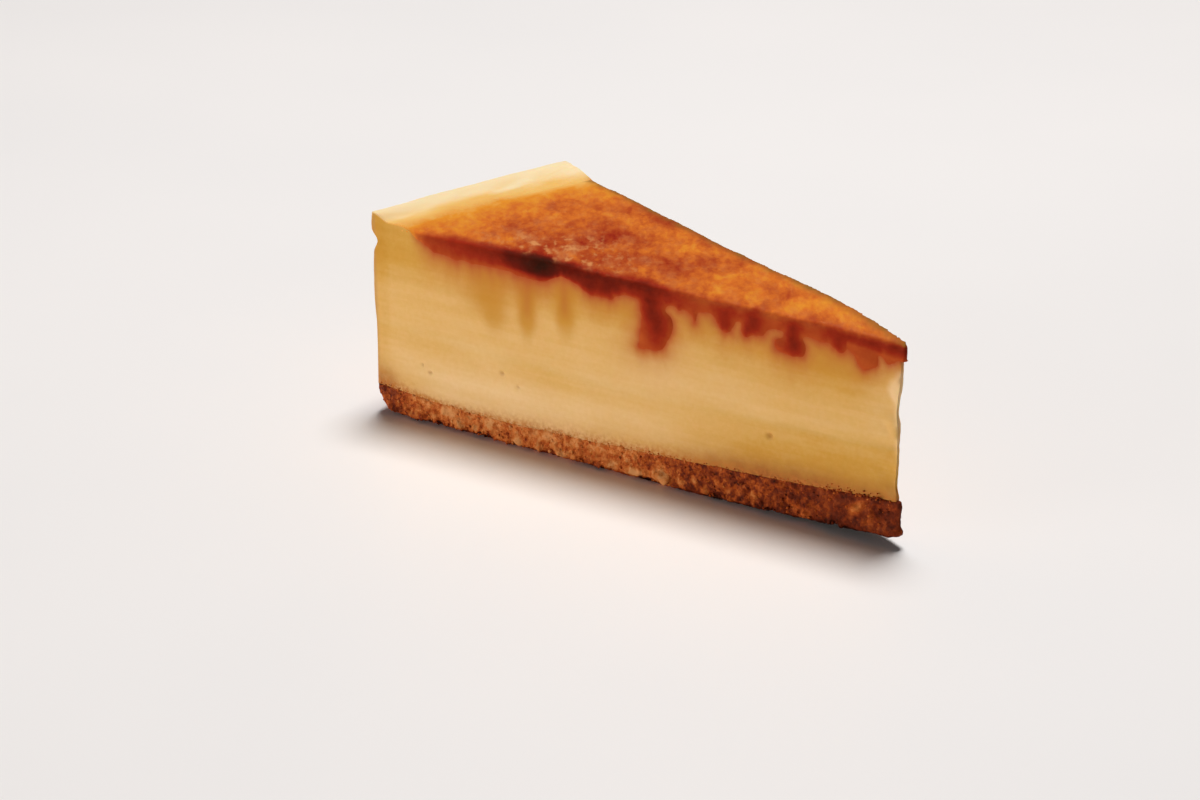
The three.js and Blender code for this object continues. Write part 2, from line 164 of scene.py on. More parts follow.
# Places that the flame caught more or less on the top: x, y, half length, half width, more burnt
TOP_PATCHES = [
    (-18, -1, 2.6, 11, 0.14), (-24, -4, 4, 8, 0.07), (0, -3, 4, 3, 0.13), (7, 5, 4, 3, 0.08),
    (33, 3, 3, 3, 0.16), (47, -4, 5, 2, 0.1), (-8, 9, 8, 4, -0.08), (18, 3, 3, 5, -0.07),
    (21, -5, 4, 2.5, -0.06), (42, 1.5, 4, 2, -0.05), (-32, -15, 4, 3, -0.08), (-38, -9, 1.5, 1.5, 0.1),
    (-42, 9, 3, 2.5, 0.06), (-13, -9, 4, 3, 0.06), (-16, 12, 13, 4.5, -0.16), (-4, 4, 7, 4, -0.07),
    (30, 1, 5, 7, 0.1), (6, -4, 5, 3, 0.12), (-30, -4, 5, 5, -0.1), (-6, -12, 5, 3, -0.06),
    (-34, -20, 5, 3, -0.05), (-6, -4, 5, 4, 0.06), (-30, 12, 6, 4, -0.07), (-42, -19, 6, 4, -0.07),
]

# Golden syrup that has run down the cuts: along the cut, half width, lowest level, strength, redness
SYRUP = {
    -1: [
        (96.8, 3.9, 25, 1, 0), (102, 3, 28, 0.5, 0), (88.4, 2.5, 25, 1.1, 0.4), (78.8, 2.8, 27, 1, 0.5),
        (107.5, 2.6, 32, 0.35, 0), (70, 3.6, 33, 0.4, 0), (64, 2.5, 33, 0.4, 0), (46, 3, 33, 0.4, 0),
        (19, 4, 32, 0.4, 0),
    ],
    1: [(95, 2.8, 27, 0.9, 0.3), (66, 3.4, 26, 0.8, 0), (44, 2.0, 29, 0.9, 0.4)],
}

# More golden patches in the filling: from the point, half length, level, half height, how much
GOLDEN_PATCHES = [(14, 12, 32, 7, 0.2), (56, 8, 26, 6, -0.13)]

# Air bubbles cut open in the lower filling, on the near cut: along the cut, level, radius
PORES = [(113.5, 12, 0.55), (115.6, 13.4, 0.4), (94.8, 16.1, 0.6), (90.8, 13.8, 0.45), (30.1, 17.1, 0.75)]
PORE_STRETCH = 1.2
PORE_DEPTH = 0.7

# Crust: round at its outer corner, wider at the point, lifted and drawn in below
CRUST_START = 0.9
CRUST_VOXEL = 0.34
CRUST_SOFTENING = 1
CRUST_CORNER = 7
CRUST_CORNER_REACH = 20
CRUST_POINT_SPREAD = 0.5
CRUST_SPREAD_REACH = 26
SOLE_LIFT = 1.9
SOLE_LIFT_REACH = 40
SOLE_LIFT_CURVE = 1.3
SOLE_TUCK = 3.6
SOLE_ROUND = 1.1
SOLE_LIP = 0.5
SOLE_LIP_HEIGHT = 1.2
TOE_TUCK = 1.6
TOE_TUCK_REACH = 12
TOE_TUCK_HEIGHT = 3.5

# How light the crust is by distance from the point
CRUST_TINT = [
    (0, -0.27), (14, -0.23), (25, -0.17), (42, -0.11), (58, -0.02), (66, 0.11), (98, 0.13), (112, 0.1),
    (122, 0.03),
]

# Pale clods in the crust on the near cut: along the cut, level, radius, how much lighter
CLODS = [
    (113, 1.9, 1.0, 0.26), (109.5, 3.9, 1.2, 0.2), (106, 1.9, 1.3, 0.36), (102, 2.0, 1.0, 0.24),
    (98.5, 3.3, 1.4, 0.24), (90.8, 1.4, 1.2, 0.3), (85.5, 1.2, 1.1, 0.24), (79.8, 1.1, 0.8, 0.24),
    (76.7, 1.1, 0.8, 0.24), (67, 1.6, 1.2, 0.26), (62.6, 1.2, 1.2, 0.4), (60.9, 1.2, 1.1, 0.4),
    (56, 2.2, 1.8, 0.3), (54.2, 1.8, 1.7, 0.3), (50.5, 2.4, 1.0, 0.22), (47.5, 3, 0.7, 0.34),
    (44.6, 1.3, 1.1, 0.2), (35.9, 4.2, 0.8, 0.16), (33.8, 3.2, 0.9, 0.18), (21.5, 2.0, 1.1, 0.26),
    (24.6, 4, 1.2, 0.1), (10.4, 6.3, 1.3, 0.34), (8.6, 7.5, 1.2, 0.3), (7.6, 4, 1.0, 0.16),
    (117, 2.8, 1.1, 0.18),
]

# Hollows between clods, most of them under the lower edge, dented in and darkened with painted shade: along
# the cut, level, half length, depth
HOLLOWS = [
    (100.6, 0.4, 3.6, 1.6), (112, 0.2, 4, 0.9), (72, 0.2, 4, 1.2), (59.6, 0.1, 2.6, 1.4),
    (43, 0.2, 3, 1.0), (14.5, 1.8, 4, 0.9), (5.4, 6.6, 1.5, 0.9), (34.8, 4, 0.8, 0.7),
    (83, 0.2, 2, 0.8), (30, 1.4, 2, 0.7),
]

# Crumbs pressed into the crust's sides
CRUST_CRUMBS = 2200
CRUST_CRUMB_SIZES = (0.3, 0.75)
CRUST_CRUMB_LIFTS = (-0.4, 0.05)
CLOD_INSET = 0.35
CLOD_SIZE = 0.95

# Loose crumbs: how many, from and to which share of the crust's height, lift, radius, how much lighter
CRUMB_KINDS = [
    (1300, 0.05, 0.95, (-0.2, 0.12), (0.15, 0.42), 0.1),
    (1400, 0.93, 1.04, (-0.24, -0.08), (0.15, 0.32), 0.24),
    (450, 1.03, 1.15, (-0.18, -0.1), (0.12, 0.22), 0.38),
]
CRUMB_TINT_SPREAD = 0.16


def srgb(red, green, blue):
    """Linear colour of an sRGB one given from 0 to 255."""
    def linear(c):
        c /= 255
        return c / 12.92 if c <= 0.04045 else ((c + 0.055) / 1.055) ** 2.4
    return (linear(red), linear(green), linear(blue), 1.0)


# Numbers and noise

def step(x, low, high):
    t = np.clip((x - low) / (high - low), 0, 1)
    return t * t * (3 - 2 * t)


def hump(x, centre, half):
    return np.exp(-(((x - centre) / half) ** 2))


def through(points, at):
    """Smooth height through a few (distance, height) points, as the solids have it."""
    xs, ys = np.array(points, float).T
    at = np.asarray(at, float)
    k = np.clip(np.searchsorted(xs, at, side="left") - 1, 0, len(xs) - 2)
    before = np.maximum(k - 1, 0)
    after = np.minimum(k + 2, len(xs) - 1)
    run = xs[k + 1] - xs[k]
    slope0 = (ys[k + 1] - ys[before]) / (xs[k + 1] - xs[before]) * run
    slope1 = (ys[after] - ys[k]) / (xs[after] - xs[k]) * run
    t = np.clip((at - xs[k]) / run, 0, 1)
    t2 = t * t
    t3 = t2 * t
    ends = ys[k] * (2 * t3 - 3 * t2 + 1) + ys[k + 1] * (3 * t2 - 2 * t3)
    return ends + slope0 * (t3 - 2 * t2 + t) + slope1 * (t3 - t2)


def scramble(cell, seed):
    """A fixed random number from 0 to 1 for each whole-numbered cell."""
    mixed = (cell[..., 0] * 73856093) ^ (cell[..., 1] * 19349663) ^ (cell[..., 2] * 83492791)
    mixed = (mixed ^ (seed * 2654435761)) & 0xFFFFFFFF
    mixed = ((mixed ^ (mixed >> 15)) * 2246822519) & 0xFFFFFFFF
    mixed = ((mixed ^ (mixed >> 13)) * 3266489917) & 0xFFFFFFFF
    return (mixed ^ (mixed >> 16)) / 0xFFFFFFFF


def noise(points, size, seed):
    """Smooth noise from -1 to 1, with bumps of about the given size."""
    scaled = points / np.asarray(size, float)
    cell = np.floor(scaled).astype(np.int64)
    part = scaled - cell
    ease = part * part * (3 - 2 * part)
    total = np.zeros(len(points))
    for corner in np.ndindex(2, 2, 2):
        weight = np.prod(np.where(corner, ease, 1 - ease), axis=1)
        total += weight * scramble(cell + np.array(corner), seed)
    return total * 2 - 1


def rough(points, size, octaves, seed):
    """Noise with finer and finer bumps on it."""
    total = np.zeros(len(points))
    for octave in range(octaves):
        total += noise(points, np.asarray(size, float) / 2**octave, seed + octave) / 2**octave
    return total


def grains(points, size, seed):
    """Distance to the nearest of scattered grain centres, as a share of their spacing."""
    scaled = points / size
    cell = np.floor(scaled).astype(np.int64)
    nearest = np.full(len(points), 9.0)
    for offset in np.ndindex(3, 3, 3):
        there = cell + np.array(offset) - 1
        centre = there + np.stack([scramble(there, seed + axis) for axis in range(3)], 1)
        nearest = np.minimum(nearest, np.linalg.norm(scaled - centre, axis=1))
    return nearest


# Places on the slice

def wedge(r, angle, z):
    return np.stack([POINT_X - r * np.cos(angle), r * np.sin(angle), z], 1)


def polar(points):
    ahead = POINT_X - points[:, 0]
    return np.hypot(ahead, points[:, 1]), np.arctan2(points[:, 1], ahead)


def at_cut(points, side):
    """How far points lie along a cut from the point of the wedge, and inward from the cut."""
    ahead, aside = POINT_X - points[:, 0], side * points[:, 1]
    return ahead * HALF_COS + aside * HALF_SIN, ahead * HALF_SIN - aside * HALF_COS


def from_cut(along, out, z, side):
    """The point that lies along a cut and out from it."""
    x = POINT_X - along * HALF_COS + out * HALF_SIN
    y = side * (along * HALF_SIN + out * HALF_COS)
    return np.stack([x, y, z], 1)


def crust_top(ahead):
    return through(CRUST_TOP, ahead)


def sole_lift(ahead):
    return SOLE_LIFT * (1 - np.clip(ahead / SOLE_LIFT_REACH, 0, 1)) ** SOLE_LIFT_CURVE


def corner_tuck(r, z):
    drop = np.clip((CRUST_CORNER - z) / CRUST_CORNER, 0, 1)
    tuck = CRUST_CORNER * (1 - np.sqrt(1 - drop**2))
    return tuck * step(r, RADIUS - CRUST_CORNER_REACH, RADIUS)


def point_spread(r):
    return CRUST_POINT_SPREAD * (1 - step(r, 0, CRUST_SPREAD_REACH))


def sole_tuck(above_sole):
    """How far the crust's cuts lie in from the filling's: a small lip, and drawn in below it."""
    drop = np.clip(1 - above_sole / SOLE_ROUND, 0, 1)
    return SOLE_TUCK * (1 - np.sqrt(1 - drop**2)) - SOLE_LIP * hump(above_sole, SOLE_ROUND, SOLE_LIP_HEIGHT)


def toe_tuck(r, z):
    return TOE_TUCK * np.clip(1 - z / TOE_TUCK_HEIGHT, 0, 1) * (1 - step(r, 0, TOE_TUCK_REACH))


def filling_join(r):
    return through(FILLING_JOIN, r)


def custard_surface(r, angle):
    across = (angle + HALF_ANGLE) / (2 * HALF_ANGLE)
    twist = across * TOP_TWIST * (TOP_TWIST_PIVOT - r) / TOP_TWIST_RUN
    flat = TOP_LEVEL - TOP_POINT_SINK + (twist + TOP_POINT_SINK) * step(r, 0, TOP_POINT_REACH)
    crest = RIM_LOWEST + RIM_RISE_RATE * (angle - RIM_LOW_ANGLE) ** 2
    inside = RADIUS - r
    shoulder = 1 - step(inside - RIM_SHOULDER_WIDENING * across, RIM_SHOULDER_WIDTH, RIM_FOOT_WIDTH)
    top = 1 - step(inside, RIM_CREST_ROUND, RIM_CREST_WIDTH)
    return flat + crest * (top + (shoulder - top) * RIM_SHOULDER_SHARE)


def far_shoulder(r, angle):
    """How much fuller the rim's foot is where it ends at the far cut."""
    side = np.clip(angle / HALF_ANGLE, 0, 1)
    return FAR_SHOULDER * hump(r, 122.8, 4) * step(RADIUS - r, 0, 2.5) * side**2


def caramel_edge(angle):
    return RADIUS - CARAMEL_FROM_RIM - CARAMEL_SLANT * angle / HALF_ANGLE


def caramel_bottom(r, angle):
    near = step(-angle, 0, HALF_ANGLE)
    bulge = sum(extra * hump(r, centre, half) for centre, extra, half in BAND_BULGES)
    fade = step(caramel_edge(angle) - r, 0, CARAMEL_FADE)
    return custard_surface(r, angle) - (BAND_DEPTH + near * bulge) * fade


def on_cut_sheet(along, z, side):
    """Places on a cut as flat points, for noise that two pieces share."""
    return np.stack([along, np.full_like(along, 50.0 * side), z], 1)


def chain_distance(along, z, chain):
    nearest = np.full_like(along, 99.0)
    for (a0, z0, r0), (a1, z1, r1) in zip(chain, chain[1:]):
        share = ((along - a0) * (a1 - a0) + (z - z0) * (z1 - z0)) / ((a1 - a0) ** 2 + (z1 - z0) ** 2)
        share = np.clip(share, 0, 1)
        centre_distance = np.hypot(along - a0 - share * (a1 - a0), z - z0 - share * (z1 - z0))
        nearest = np.minimum(nearest, centre_distance - r0 - share * (r1 - r0))
    return nearest


def caramel_reach(along, z, side):
    """How far a place on a cut is from the caramel's edge, negative inside the band and its drips."""
    flat = on_cut_sheet(along, z, side)
    along = along + 0.35 * noise(flat, 2.4, 11) + 0.25 * noise(flat, 1.1, 12)
    z = z + 0.55 * noise(flat, (1.6, 9, 6), 13) + 0.3 * noise(flat, (0.7, 9, 2.4), 14)
    distances = [caramel_bottom(along, side * HALF_ANGLE) - z]
    distances += [chain_distance(along, z, chain) for chain in DRIPS[side]]
    return -DRIP_MELT * np.log(sum(np.exp(-np.clip(d, -20, 20) / DRIP_MELT) for d in distances))


# Meshes

def corners(sheet):
    """The four corners of each cell of a grid, in order round it."""
    return sheet[:-1, :-1], sheet[1:, :-1], sheet[1:, 1:], sheet[:-1, 1:]


def block(rows, columns, levels):
    """Grid on a wedge-shaped block's six sides: shares outward, angles, shares upward, and faces."""
    shape = (rows + 1, columns + 1, levels + 1)
    outer = np.zeros(shape, bool)
    for axis in range(3):
        for end in (0, -1):
            index = [slice(None)] * 3
            index[axis] = end
            outer[tuple(index)] = True
    number = np.full(shape, -1)
    number[outer] = np.arange(outer.sum())
    shares = np.argwhere(outer) / np.array([rows, columns, levels], float)

    def quads(sheet, turned):
        cells = np.stack([corner.ravel() for corner in corners(sheet)], 1)
        return cells[:, [0, 3, 2, 1]] if turned else cells

    faces = [
        quads(number[:, :, 0], False),
        quads(number[:, :, -1], True),
        quads(number[:, 0, :], True),
        quads(number[:, -1, :], False),
        quads(number[0, :, :], False),
        quads(number[-1, :, :], True),
    ]
    return shares[:, 0], (shares[:, 1] * 2 - 1) * HALF_ANGLE, shares[:, 2], np.concatenate(faces)


def together(shells):
    """Several (points, faces) shells as one."""
    points, faces, count = [], [], 0
    for some_points, some_faces in shells:
        points.append(some_points)
        faces.extend((np.asarray(some_faces) + count).tolist())
        count += len(some_points)
    return np.concatenate(points), faces


def make_mesh(name, points, faces):
    mesh = bpy.data.meshes.new(name)
    mesh.from_pydata((points * MM).tolist(), [], faces if isinstance(faces, list) else faces.tolist())
    mesh.update()
    return mesh


def read_vectors(items, name):
    flat = np.zeros(len(items) * 3, np.float32)
    items.foreach_get(name, flat)
    return flat.reshape(-1, 3).astype(float)


def read_points(mesh):
    return read_vectors(mesh.vertices, "co") / MM


def read_normals(mesh):
    return read_vectors(mesh.vertex_normals, "vector")


def write_points(mesh, points):
    mesh.vertices.foreach_set("co", (points * MM).astype(np.float32).ravel())
    mesh.update()


def in_scene(name, data):
    """A new object, linked to the scene."""
    obj = bpy.data.objects.new(name, data)
    bpy.context.scene.collection.objects.link(obj)
    return obj


def fused(name, shells, voxel, smoothing):
    """One closed skin round several shells."""
    rough_mesh = make_mesh(name + "_rough", *together(shells))
    obj = in_scene(name + "_rough", rough_mesh)
    remesh = obj.modifiers.new("skin", "REMESH")
    remesh.mode = "VOXEL"
    remesh.voxel_size = voxel * MM
    smooth = obj.modifiers.new("soften", "SMOOTH")
    smooth.factor = 0.5
    smooth.iterations = smoothing
    graph = bpy.context.evaluated_depsgraph_get()
    mesh = bpy.data.meshes.new_from_object(obj.evaluated_get(graph))
    mesh.name = name
    bpy.data.objects.remove(obj)
    bpy.data.meshes.remove(rough_mesh)
    return mesh


def mask(mesh, **named):
    """Attributes of a mesh, one number for each vertex, that its material reads."""
    for name, values in named.items():
        attribute = mesh.attributes.new(name, "FLOAT", "POINT")
        attribute.data.foreach_set("value", np.asarray(values, np.float32))


def piece(name, mesh, material, node=None):
    """An object of the part, and in place of one of the solids where it has one."""
    obj = in_scene(name, mesh)
    mesh.materials.append(material)
    mesh.polygons.foreach_set("use_smooth", np.ones(len(mesh.polygons), bool))
    mesh.update()
    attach(obj, "root")
    if node:
        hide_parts(node)
    print(name, len(mesh.polygons), "faces")


# Burn and stain, shared by the caramel and the custard so that their colours meet

def across_slice(side, middle, slant, curve):
    return middle + slant * side + curve * side**2


def top_burn(points):
    """How burnt the top is, from the pale rim at 0 to black at 1."""
    r, angle = polar(points)
    side = angle / HALF_ANGLE
    inside = RADIUS - r
    flat = points * (1, 1, 0)
    wander = 0.9 * rough(flat, 11, 3, 21)
    orange_edge = across_slice(side, *ORANGE_EDGE) - 1.4 * hump(side, 0.15, 0.4) + wander
    red_edge = across_slice(side, *RED_EDGE) + 1.6 * wander
    burn = 0.1 * step(inside, orange_edge - 6.5, orange_edge)
    burn += 0.18 * step(inside, orange_edge - 1.5, orange_edge + 6)
    burn += 0.2 * step(inside, red_edge - 7, red_edge + 10)
    # Most burnt two thirds of the way out, and along the near cut
    burn += 0.04 * hump(r, 80, 16) - 0.04 * step(r, 74, 60) - 0.16 * step(r, 62, 26)
    near_edge = np.maximum(at_cut(points, -1)[1], 0)
    burn += 0.14 * np.exp(-near_edge / 1.5) * step(inside, 16, 30)
    patches = sum(
        more * hump(flat[:, 0] + wander, x, half_x) * hump(flat[:, 1] - wander, y, half_y)
        for x, y, half_x, half_y, more in TOP_PATCHES
    )
    settled = step(inside, 10, 20)
    gilded = (1 - settled) * 0.03 * rough(flat, (3, 9, 9), 3, 23) * step(inside, 0.5, 3)
    return np.clip(burn + gilded + settled * (patches + 0.06 * rough(flat, 8, 3, 22)), 0, 1)


def cut_burn(along, z, side, reach):
    """How burnt the caramel is where it shows on a cut, lighter low down and towards its soft edge."""
    flat = on_cut_sheet(along, z, side)
    burn = through(BAND_BURN[side], along) + 0.04 * rough(flat, (4, 9, 4), 2, 31)
    by_point = step(along, 54, 42) if side < 0 else 0
    burn -= 0.07 * (1 - by_point) * step(z, 40.4, 38.9) + 0.1 * step(z, 34, 31)
    burn -= 0.08 * by_point * step(z, 41.2, 42.6) * step(along, 16, 24)
    softness = np.full_like(along, 0.9)
    if side < 0:
        for centre, half, high, low, paler in NEAR_CUT_PALER:
            burn -= paler * hump(along, centre, half) * step(z, high, low)
        # The long drip is darker down its middle, and the band's edge is softer by the wall
        burn += 0.06 * hump(along, 57.4, 1.9) * step(z, 33, 36) * step(z, 41, 40)
        softness += hump(along, 106, 11) - 0.4 * hump(along, 85, 5)
    return burn - np.maximum(burn - PALEST_BAND, 0) * np.exp(np.minimum(reach, 0) / softness)


def syrup_runs(points, side):
    """Golden syrup on a cut, and how red it is."""
    along, inward = at_cut(points, side)
    z = points[:, 2]
    shifted = along + 0.5 * noise(on_cut_sheet(along, z, side), (4, 9, 8), 41)
    close = np.exp(-np.maximum(inward, 0) / 0.8)
    golden = np.zeros(len(points))
    red = np.zeros(len(points))
    for centre, half, low, strength, redness in SYRUP[side]:
        narrow = np.clip((z - low + 5) / 9, 0.6, 1)
        wide = np.exp(-(((shifted - centre) / (half * narrow)) ** 2) ** 1.4)
        golden += strength * wide * step(z, low - 3, low + 5)
        red += redness * hump(shifted, centre, half * 0.45) * step(z, low + 3.5, low + 7)
    return np.clip(golden, 0, 1) * close, np.clip(red, 0, 1) * close


def filling_tone(points):
    """How golden the filling is, from pale at 0 to amber at 1."""
    r = polar(points)[0]
    z = points[:, 2]
    join = filling_join(r)
    above = z - crust_top(POINT_X - points[:, 0])
    toward_point = step(r, 62, 30)
    toward_wall = step(r, 108, 122)
    # Golden under the caramel, with the faint join between the layers
    tone = 0.33 + (0.24 + 0.08 * toward_wall) * step(z, 29, 38)
    tone -= 0.06 * hump(z, join + 3.5, 4) * step(r, 75, 40)
    by_join = 0.14 * toward_point + 0.05 * hump(z, join - 1.4, 1.6) * (1 - toward_point)
    tone += by_join * step(z, join + 0.8, join - 0.8)
    # Paler below, but golden again close above the crust
    tone -= 0.05 * hump(z, 20, 5) * step(r, 44, 60) * step(r, 116, 100)
    tone -= 0.3 * (1 - toward_point) * step(z, 17.5, 11.5)
    tone += 0.28 * step(r, 84, 22) * np.exp(-np.maximum(above, 0) / 4.5)
    tone += 0.3 * toward_wall * hump(above, 3, 4) + 0.18 * hump(r, 62, 18) * hump(above, 2.5, 3.5)
    for centre, half, level, height, more in GOLDEN_PATCHES:
        tone += more * hump(r, centre, half) * hump(z, level, height)
    # Golden at the wall, and paler at the point's edge, painted light with a painted highlight high up
    tone += 0.1 * step(r, 123, 125.5) - 0.12 * hump(r, 5.5, 4) * step(z, 20, 27)
    # Pale strip along the point's edge: painted light, brightest at a painted highlight near the top
    wide = 2.8 + 2.2 * hump(z, 33.5, 4)
    pale = step(r + 0.8 * rough(points, 3, 2, 46), wide, 0.4 * wide) * step(z, 13, 24) * step(z, 38.5, 36.5)
    tone -= (0.42 + 0.3 * hump(z, 34, 4)) * pale
    return tone + 0.05 * rough(points, (16, 16, 9), 3, 45)


# Materials

class Shader:
    """A small helper that makes and links the nodes of a material or a world."""

    def __init__(self, owner):
        owner.use_nodes = True
        self.owner = owner
        self.tree = owner.node_tree
        self.coordinates = self.node("ShaderNodeTexCoord").outputs
        self.place = self.coordinates["Object"]

    def feed(self, node, inputs):
        """Links the sockets given to a node's inputs, and sets the plain values given on them."""
        for name, value in inputs.items():
            if isinstance(value, bpy.types.NodeSocket):
                self.tree.links.new(value, node.inputs[name])
            else:
                node.inputs[name].default_value = value

    def node(self, kind, inputs=None, **settings):
        made = self.tree.nodes.new(kind)
        for key, value in settings.items():
            setattr(made, key, value)
        self.feed(made, inputs or {})
        return made

    def attribute(self, name):
        return self.node("ShaderNodeAttribute", attribute_name=name).outputs["Fac"]

    def math(self, operation, a, b, clamp=False):
        return self.node("ShaderNodeMath", {0: a, 1: b}, operation=operation, use_clamp=clamp).outputs[0]

    def spread(self, value, low, high, to_low, to_high):
        inputs = {"Value": value, "From Min": low, "From Max": high, "To Min": to_low, "To Max": to_high}
        return self.node("ShaderNodeMapRange", inputs, interpolation_type="SMOOTHSTEP").outputs["Result"]

    def stretched(self, factors, turn=0.0):
        """Places stretched along their own axes, which may be turned about the upright."""
        inputs = {"Vector": self.place, "Rotation": (0, 0, turn), "Scale": factors}
        return self.node("ShaderNodeMapping", inputs, vector_type="TEXTURE").outputs["Vector"]

    def noise(self, size, detail=3, roughness=0.6, vector=None, distortion=0, output="Fac"):
        inputs = {"Vector": vector or self.place, "Scale": 1 / (size * MM)}
        inputs.update({"Detail": detail, "Roughness": roughness, "Distortion": distortion})
        return self.node("ShaderNodeTexNoise", inputs).outputs[output]

    def varied(self, size, low, high, **settings):
        """A noise spread from one number to another."""
        return self.spread(self.noise(size, **settings), 0.3, 0.7, low, high)

    def ragged(self, size, reach):
        """Places moved about by a noise, so that what is drawn there has ragged edges."""
        moved = self.noise(size, 2, 0.5, output="Color")
        sums = {"SUBTRACT": {1: (0.5, 0.5, 0.5)}, "SCALE": {"Scale": reach * MM}, "ADD": {1: self.place}}
        for operation, inputs in sums.items():
            moved = self.node("ShaderNodeVectorMath", {0: moved, **inputs}, operation=operation).outputs[0]
        return moved

    def cells(self, size, vector, output="Distance"):
        inputs = {"Vector": vector, "Scale": 1 / (size * MM)}
        return self.node("ShaderNodeTexVoronoi", inputs).outputs[output]

    def cell_shades(self, size, vector, channel, spread):
        """A random shade for each cell, as much lighter as darker."""
        parts = self.node("ShaderNodeSeparateColor", {0: self.cells(size, vector, "Color")})
        return self.spread(parts.outputs[channel], 0, 1, -spread, spread)

    def ramp(self, value, stops):
        made = self.node("ShaderNodeValToRGB", {"Fac": value})
        elements = made.color_ramp.elements
        while len(elements) < len(stops):
            elements.new(0.5)
        for element, (position, colour) in zip(elements, stops):
            element.position = position
            element.color = srgb(*colour)
        return made.outputs["Color"]

    def blend(self, share, a, b):
        return self.node("ShaderNodeMix", {0: share, 6: a, 7: b}, data_type="RGBA").outputs[2]

    def stained(self, colour, name, share, stain):
        """A colour with another one over it, where an attribute says and as much as the share says."""
        amount = self.attribute(name)
        if share != 1:
            amount = self.math("MULTIPLY", amount, share, True)
        return self.blend(amount, colour, srgb(*stain))

    def bump(self, height, depth, strength, under=None):
        inputs = {"Strength": strength, "Distance": depth * MM, "Height": height}
        if under is not None:
            inputs["Normal"] = under
        return self.node("ShaderNodeBump", inputs).outputs["Normal"]

    def finish(self, colour, roughness, normal, **constants):
        """The material, with these on its shader."""
        inputs = {"Base Color": colour, "Roughness": roughness, "Normal": normal}
        inputs.update({name.replace("_", " "): value for name, value in constants.items()})
        self.feed(self.tree.nodes["Principled BSDF"], inputs)
        return self.owner


FLAME_TURN = math.radians(-45)
FLAME_STRETCH = 1.9

BURN_STOPS = [
    (0.0, (248, 222, 174)), (0.10, (240, 188, 104)), (0.22, (228, 144, 44)),
    (0.36, (212, 110, 38)), (0.52, (180, 76, 31)), (0.68, (154, 41, 19)),
    (0.84, (100, 20, 9)), (1.0, (48, 16, 7)),
]

FILLING_STOPS = [
    (0.0, (242, 202, 144)), (0.35, (228, 179, 104)), (0.6, (214, 158, 66)),
    (0.8, (203, 143, 42)), (1.0, (184, 114, 36)),
]


def run_of_flame(s):
    """Places stretched the way that the flame was drawn over the top."""
    return s.stretched((FLAME_STRETCH, 1, 1), FLAME_TURN)


def burnt(s):
    """Colour of the burnt sugar, mottled where it is orange and plain where it is pale."""
    along_flame = run_of_flame(s)
    blotch = s.noise(4.5, 4, vector=along_flame, distortion=0.4)
    fleck = s.spread(s.noise(1.5, vector=along_flame), 0.32, 0.7, -0.055, 0.05)
    shift = s.math("ADD", s.spread(blotch, 0.32, 0.68, -0.07, 0.07), fleck)
    shift = s.math("MULTIPLY", shift, s.attribute("mottled"))
    return s.ramp(s.math("ADD", s.attribute("burn"), shift, True), BURN_STOPS)


def filling_material(name):
    """A set filling, with burnt sugar on its top, caramel and syrup on its cuts, and crumbs low down."""
    s = Shader(bpy.data.materials.new(name))
    drawn = s.noise(2.4, vector=s.stretched((10, 10, 1)))
    tone = s.math("ADD", s.attribute("tone"), s.spread(drawn, 0.3, 0.7, -0.05, 0.05))
    tone = s.math("ADD", tone, s.varied(1.1, 0.03, -0.03, detail=4), True)
    uneven = s.varied(0.9, 0.45, 1.45)
    gentle = s.varied(3, 0.75, 1.2, detail=4)
    colour = s.ramp(tone, FILLING_STOPS)
    colour = s.stained(colour, "soaked", 0.65, (206, 140, 44))
    colour = s.stained(colour, "syrup", 0.85, (202, 138, 30))
    colour = s.stained(colour, "ember", 1, (188, 98, 34))
    colour = s.stained(colour, "browned", gentle, (152, 84, 38))
    colour = s.stained(colour, "crumbed", uneven, (196, 118, 50))
    colour = s.blend(s.attribute("topside"), colour, burnt(s))
    colour = s.stained(colour, "fringe", gentle, (194, 106, 46))
    colour = s.stained(colour, "stain", 1, (182, 74, 28))
    # Painted shade inside the open bubbles
    colour = s.stained(colour, "pitted", 1, (176, 110, 46))
    colour = s.stained(colour, "skin", 1, (192, 140, 82))
    normal = s.bump(drawn, 0.08, 0.4)
    normal = s.bump(s.noise(0.6, roughness=0.55), 0.05, 0.5, normal)
    roughness = s.spread(s.math("ADD", s.attribute("syrup"), s.attribute("stain")), 0, 1, 0.5, 0.36)
    return s.finish(
        colour, roughness, normal,
        Subsurface_Weight=0.25, Subsurface_Radius=(1.0, 0.5, 0.2), Subsurface_Scale=1.2 * MM,
        Specular_IOR_Level=0.2, Specular_Tint=(1, 0.78, 0.5, 1),
    )


def caramel_material():
    s = Shader(bpy.data.materials.new("burnt_caramel"))
    colour = burnt(s)
    along_flame = run_of_flame(s)
    # Paler flecks and a veil over one patch of the top: partly the sugar's own flecks, partly painted
    # highlight; the flecks also raise the relief below
    highlight_veil = s.spread(s.noise(3.4, vector=along_flame), 0.42, 0.66, 0, 0.45)
    blisters = s.spread(s.noise(1.7, 2, 0.5, vector=along_flame), 0.52, 0.68, 0, 0.5)
    colour = s.stained(colour, "blistered", s.math("ADD", highlight_veil, blisters), (214, 140, 84))
    colour = s.stained(colour, "ochre", 1, (150, 98, 40))
    normal = s.bump(s.math("MULTIPLY", s.attribute("blistered"), blisters), 0.5, 0.6)
    normal = s.bump(s.noise(2.4, 4), 0.2, 0.5, normal)
    normal = s.bump(s.noise(0.7), 0.07, 0.5, normal)
    roughness = s.math("ADD", s.varied(1.6, 0.3, 0.5), s.attribute("dull"), True)
    return s.finish(colour, roughness, normal, Specular_IOR_Level=0.06, Specular_Tint=(1, 0.6, 0.35, 1))


CRUMB_STOPS = [
    (0.0, (54, 14, 5)), (0.12, (90, 25, 9)), (0.27, (124, 44, 15)),
    (0.5, (182, 82, 28)), (0.75, (212, 122, 57)), (1.0, (226, 154, 92)),
]


